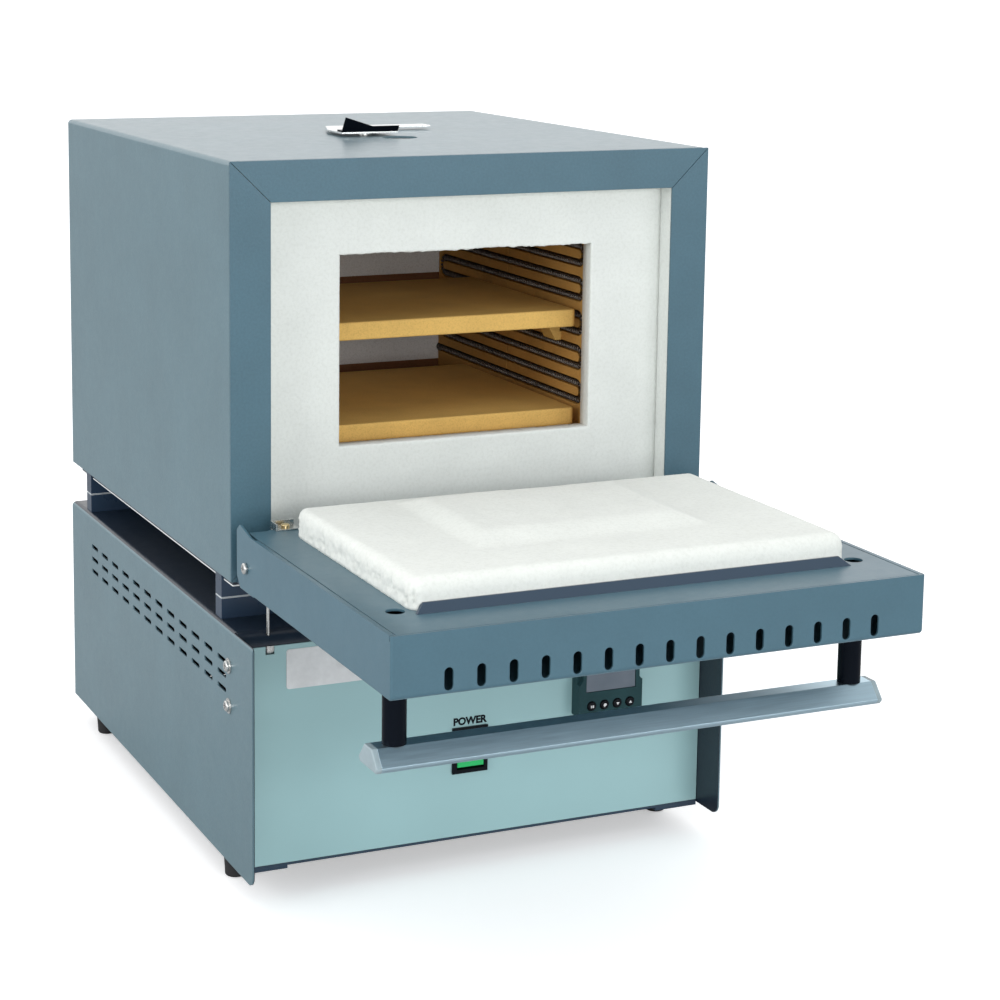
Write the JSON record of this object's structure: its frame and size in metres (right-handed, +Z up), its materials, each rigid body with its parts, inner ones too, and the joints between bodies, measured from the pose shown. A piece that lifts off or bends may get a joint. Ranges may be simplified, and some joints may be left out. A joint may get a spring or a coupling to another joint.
{
  "type": "benchtop box kiln",
  "caption": "Benchtop electric box kiln: insulated chamber with coiled side elements, shelf and hearth, drop-down door with bar handle, on a control base.",
  "frame": {"origin": "centre of the overall bounding box seen from above, on the plane the feet stand on", "axes": "+Z up, the door and the controls face -Y, +X to the right seen from the front"},
  "size_m": [0.3462, 0.652, 0.4887],
  "materials": {
    "casing_paint": "fine pebbled blue-grey paint, semi-gloss",
    "frame_paint": "darker blue-grey paint",
    "panel_paint": "blue-grey paint, glossy",
    "plain_steel": "plain sheet steel",
    "zinc_steel": "bright zinc plating",
    "white_fibre": "white ceramic fibre pressed into board, soft and light like felt",
    "tan_refractory": "moulded tan refractory, matt",
    "shelf_refractory": "dense tan kiln shelf, matt",
    "coil_wire": "oxidised resistance wire",
    "white_porcelain": "glazed insulator",
    "aluminium_bar": "satin extruded aluminium",
    "black_plastic": "matt black",
    "case_plastic": "dark green-grey, fine grain",
    "grey_plastic": "pale grey end caps",
    "screen": "glossy grey-blue display window",
    "rocker_green": "translucent green",
    "foot_rubber": "black rubber",
    "brass": "turned brass",
    "label_stock": "blank label"
  },
  "bodies": {
    "furnace": {"casing_wrap": "casing_paint", "face_frame": "frame_paint", "casing_back": "casing_paint", "terminal_cover": "casing_paint", "casing_pan": "plain_steel", "insulation_sides": "white_fibre", "insulation_top": "white_fibre", "insulation_bottom": "white_fibre", "insulation_back": "white_fibre", "front_board": "white_fibre", "element_plates": "tan_refractory", "heating_coils": "coil_wire", "chamber_plates": "tan_refractory", "shelf_lugs": "shelf_refractory", "vent_tube": "white_porcelain", "thermocouple": "plain_steel", "terminal_bushes": "white_porcelain", "terminal_studs": "zinc_steel", "vent_pivot_screw": "zinc_steel", "upper_channels": "frame_paint", "lower_channels": "frame_paint", "lead_conduit": "zinc_steel", "base_wrap": "casing_paint", "front_panel": "panel_paint", "base_floor": "plain_steel", "base_back": "casing_paint", "panel_screws": "zinc_steel", "foot_plates": "frame_paint", "rubber_feet": "foot_rubber", "controller_bezel": "case_plastic", "controller_window": "screen", "controller_case": "case_plastic", "switch_housing": "black_plastic", "label_plate": "label_stock", "relay_and_heat_sink": "aluminium_bar", "terminal_block": "black_plastic", "interlock_switch": "black_plastic", "cord_gland": "black_plastic", "hinge_brackets": "zinc_steel", "rod_bush": "brass"},
    "door": {"door_shell": "frame_paint", "door_inner_plate": "frame_paint", "door_insulation": "white_fibre", "block_front_strip": "frame_paint", "interlock_actuator": "zinc_steel", "door_screws": "brass", "handle_bar": "aluminium_bar", "handle_end_caps": "grey_plastic", "handle_standoffs": "black_plastic", "hinge_pins": "zinc_steel"},
    "interlock_rod": {"interlock_rod": "zinc_steel"},
    "vent_cover": {"vent_cover": "plain_steel", "vent_cover_tab": "frame_paint"},
    "power_rocker": {"power_rocker": "rocker_green"},
    "upper_shelf": {"upper_shelf": "shelf_refractory"},
    "hearth": {"hearth_plate": "shelf_refractory"},
    "controller_button_1": {"controller_button_1": "black_plastic"},
    "controller_button_2": {"controller_button_2": "black_plastic"},
    "controller_button_3": {"controller_button_3": "black_plastic"},
    "controller_button_4": {"controller_button_4": "black_plastic"}
  },
  "joints": [
    {"name": "door_hinge", "type": "hinge", "parent": "furnace", "child": "door", "pos_m": [0, -0.0951, 0.2238], "axis": [-1, 0, 0], "range_deg": [0, 90]},
    {"name": "interlock_rod_slide", "type": "slide", "parent": "furnace", "child": "interlock_rod", "axis": [0, 0, -1], "range_m": [0, 0.0021]},
    {"name": "vent_cover_pivot", "type": "hinge", "parent": "furnace", "child": "vent_cover", "pos_m": [-0.012, 0.1024, 0.4771], "axis": [0, 0, -1], "range_deg": [0, 146]},
    {"name": "power_rocker_pivot", "type": "hinge", "parent": "furnace", "child": "power_rocker", "pos_m": [-0.007, -0.0716, 0.0792], "axis": [1, 0, 0], "range_deg": [0, 14]},
    {"name": "upper_shelf_slide", "type": "slide", "parent": "furnace", "child": "upper_shelf", "axis": [0, -1, 0], "range_m": [0, 0.012]},
    {"name": "hearth_slide", "type": "slide", "parent": "furnace", "child": "hearth", "axis": [0, -1, 0], "range_m": [0, 0.012]},
    {"name": "controller_button_1_press", "type": "slide", "parent": "furnace", "child": "controller_button_1", "axis": [0, 1, 0], "range_m": [0, 0.0008], "stiffness_N_per_m": 300},
    {"name": "controller_button_2_press", "type": "slide", "parent": "furnace", "child": "controller_button_2", "axis": [0, 1, 0], "range_m": [0, 0.0008], "stiffness_N_per_m": 300},
    {"name": "controller_button_3_press", "type": "slide", "parent": "furnace", "child": "controller_button_3", "axis": [0, 1, 0], "range_m": [0, 0.0008], "stiffness_N_per_m": 300},
    {"name": "controller_button_4_press", "type": "slide", "parent": "furnace", "child": "controller_button_4", "axis": [0, 1, 0], "range_m": [0, 0.0008], "stiffness_N_per_m": 300}
  ],
  "couplings": [
    {"joint": "interlock_rod_slide", "follows": "door_hinge", "m_per_rad": 0.001273}
  ]
}
